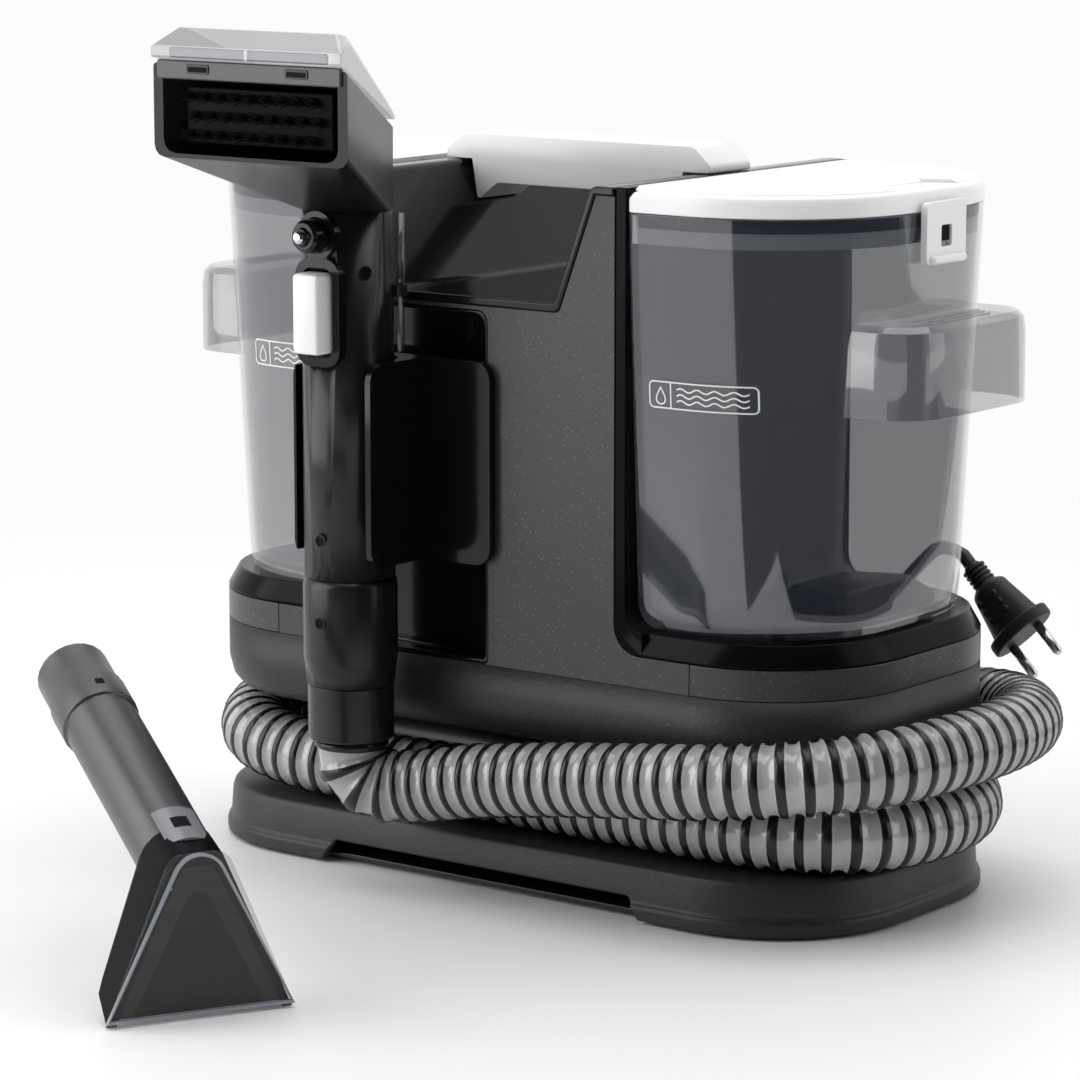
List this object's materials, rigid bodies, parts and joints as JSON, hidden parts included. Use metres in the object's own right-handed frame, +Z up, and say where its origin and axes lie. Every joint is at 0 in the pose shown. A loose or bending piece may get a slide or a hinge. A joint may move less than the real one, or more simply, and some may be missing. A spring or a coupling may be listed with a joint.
{
  "type": "spot extractor",
  "caption": "Portable spot cleaner with a smoked water tank at each end, a white carry handle, a hose wound round its base, a docked brush wand and a loose hand tool.",
  "frame": {"origin": "on the floor, under the middle of the base", "axes": "+X towards the clear-water tank, -Y the front where the wand is docked, +Z up"},
  "size_m": [0.464, 0.5148, 0.4185],
  "materials": {
    "speckled_casing": "speckled fine texture",
    "grained_casing": "leather grain",
    "gloss_black": "gloss",
    "satin_black": "satin",
    "white_plastic": "semi-gloss",
    "smoked_tank": "clear smoked",
    "clear_plastic": "clear",
    "black_rubber": "matte",
    "ribbed_hose": "ribbed, translucent skin",
    "cord_sheath": "satin sheath",
    "plated_steel": "bright",
    "motor_casing": "satin"
  },
  "bodies": {
    "machine": {"base_pan": "grained_casing", "bottom_cover": "satin_black", "foot_1": "black_rubber", "foot_2": "black_rubber", "foot_3": "black_rubber", "foot_4": "black_rubber", "hose_drum": "satin_black", "hose_port": "satin_black", "lower_body": "grained_casing", "waist_band": "speckled_casing", "front_panel": "speckled_casing", "rear_panel": "speckled_casing", "saddle": "gloss_black", "carry_handle": "white_plastic", "clear_tank_seat": "gloss_black", "dirty_tank_seat": "gloss_black", "dock_liner": "gloss_black", "wand_clip": "gloss_black", "suction_motor": "motor_casing", "fan_housing": "satin_black", "water_pump": "motor_casing", "suction_duct": "satin_black", "hose": "ribbed_hose", "cord_gland": "black_rubber", "cord_coil": "cord_sheath", "cord_lead": "cord_sheath", "cord_tail": "cord_sheath", "plug_body": "black_rubber", "plug_pin_line": "plated_steel", "plug_pin_neutral": "plated_steel", "lower_cord_hook": "satin_black"},
    "clear_tank": {"clear_tank": "smoked_tank", "clear_tank_strainer": "satin_black"},
    "clear_lid": {"clear_tank_lid": "white_plastic", "clear_tank_seal": "black_rubber"},
    "clear_latch": {"clear_tank_latch": "white_plastic"},
    "clear_valve": {"clear_tank_valve": "satin_black"},
    "dirty_tank": {"dirty_tank": "smoked_tank", "dirty_tank_riser": "satin_black", "float_stop": "satin_black"},
    "dirty_lid": {"dirty_tank_lid": "white_plastic", "dirty_tank_seal": "black_rubber"},
    "dirty_latch": {"dirty_tank_latch": "white_plastic"},
    "dirty_float": {"dirty_tank_float": "satin_black"},
    "wand": {"hose_cuff": "satin_black", "wand_collar": "satin_black", "grip_front": "satin_black", "grip_rear": "satin_black", "spray_nozzle": "gloss_black", "water_tube": "clear_plastic"},
    "wand_trigger": {"trigger": "white_plastic"},
    "wand_head": {"head_housing": "satin_black", "brush_block": "satin_black", "clear_nozzle": "clear_plastic"},
    "impeller": {"impeller": "plated_steel"},
    "power_button": {"power_button": "white_plastic"},
    "cord_hook": {"upper_cord_hook": "satin_black"},
    "spare_tool": {"spare_tool_head": "satin_black", "spare_tool_cover": "clear_plastic", "spare_tool_tube": "satin_black"}
  },
  "joints": [
    {"name": "clear_tank_lift", "type": "slide", "parent": "machine", "child": "clear_tank", "axis": [0, 0, 1], "range_m": [0, 0.22]},
    {"name": "clear_lid_lift", "type": "slide", "parent": "clear_tank", "child": "clear_lid", "axis": [0, 0, 1], "range_m": [0, 0.08]},
    {"name": "clear_latch_hinge", "type": "hinge", "parent": "clear_lid", "child": "clear_latch", "pos_m": [0.20005, 0, 0.339], "axis": [0, -1, 0], "range_deg": [0, 60]},
    {"name": "clear_valve_slide", "type": "slide", "parent": "clear_tank", "child": "clear_valve", "axis": [0, 0, 1], "range_m": [0, 0.004], "stiffness_N_per_m": 150, "springref_m": -0.002},
    {"name": "dirty_tank_lift", "type": "slide", "parent": "machine", "child": "dirty_tank", "axis": [0, 0, 1], "range_m": [0, 0.22]},
    {"name": "dirty_lid_lift", "type": "slide", "parent": "dirty_tank", "child": "dirty_lid", "axis": [0, 0, 1], "range_m": [0, 0.08]},
    {"name": "dirty_latch_hinge", "type": "hinge", "parent": "dirty_lid", "child": "dirty_latch", "pos_m": [-0.20005, 0, 0.339], "axis": [0, 1, 0], "range_deg": [0, 60]},
    {"name": "float_slide", "type": "slide", "parent": "dirty_tank", "child": "dirty_float", "axis": [0, 0, 1], "range_m": [0, 0.09]},
    {"name": "wand_pull", "type": "slide", "parent": "machine", "child": "wand", "axis": [0, -1, 0], "range_m": [0, 0.06]},
    {"name": "trigger_hinge", "type": "hinge", "parent": "wand", "child": "wand_trigger", "pos_m": [-0.0545, -0.1455, 0.3], "axis": [1, 0, 0], "range_deg": [0, 5], "stiffness_Nm_per_rad": 0.3, "springref_deg": -2.86},
    {"name": "head_lift", "type": "slide", "parent": "wand", "child": "wand_head", "axis": [0, 0, 1], "range_m": [0, 0.06]},
    {"name": "impeller_spin", "type": "hinge", "parent": "machine", "child": "impeller", "pos_m": [0, 0.01, 0.1963], "axis": [0, 0, 1], "continuous": true},
    {"name": "power_button_push", "type": "slide", "parent": "machine", "child": "power_button", "axis": [0, -1, 0], "range_m": [0, 0.003], "stiffness_N_per_m": 300, "springref_m": -0.001},
    {"name": "cord_hook_turn", "type": "hinge", "parent": "machine", "child": "cord_hook", "pos_m": [0, 0.11, 0.26], "axis": [0, 1, 0], "range_deg": [0, 180]},
    {"name": "spare_tool_lift", "type": "slide", "parent": "machine", "child": "spare_tool", "axis": [0, 0, 1], "range_m": [0, 0.25]}
  ]
}
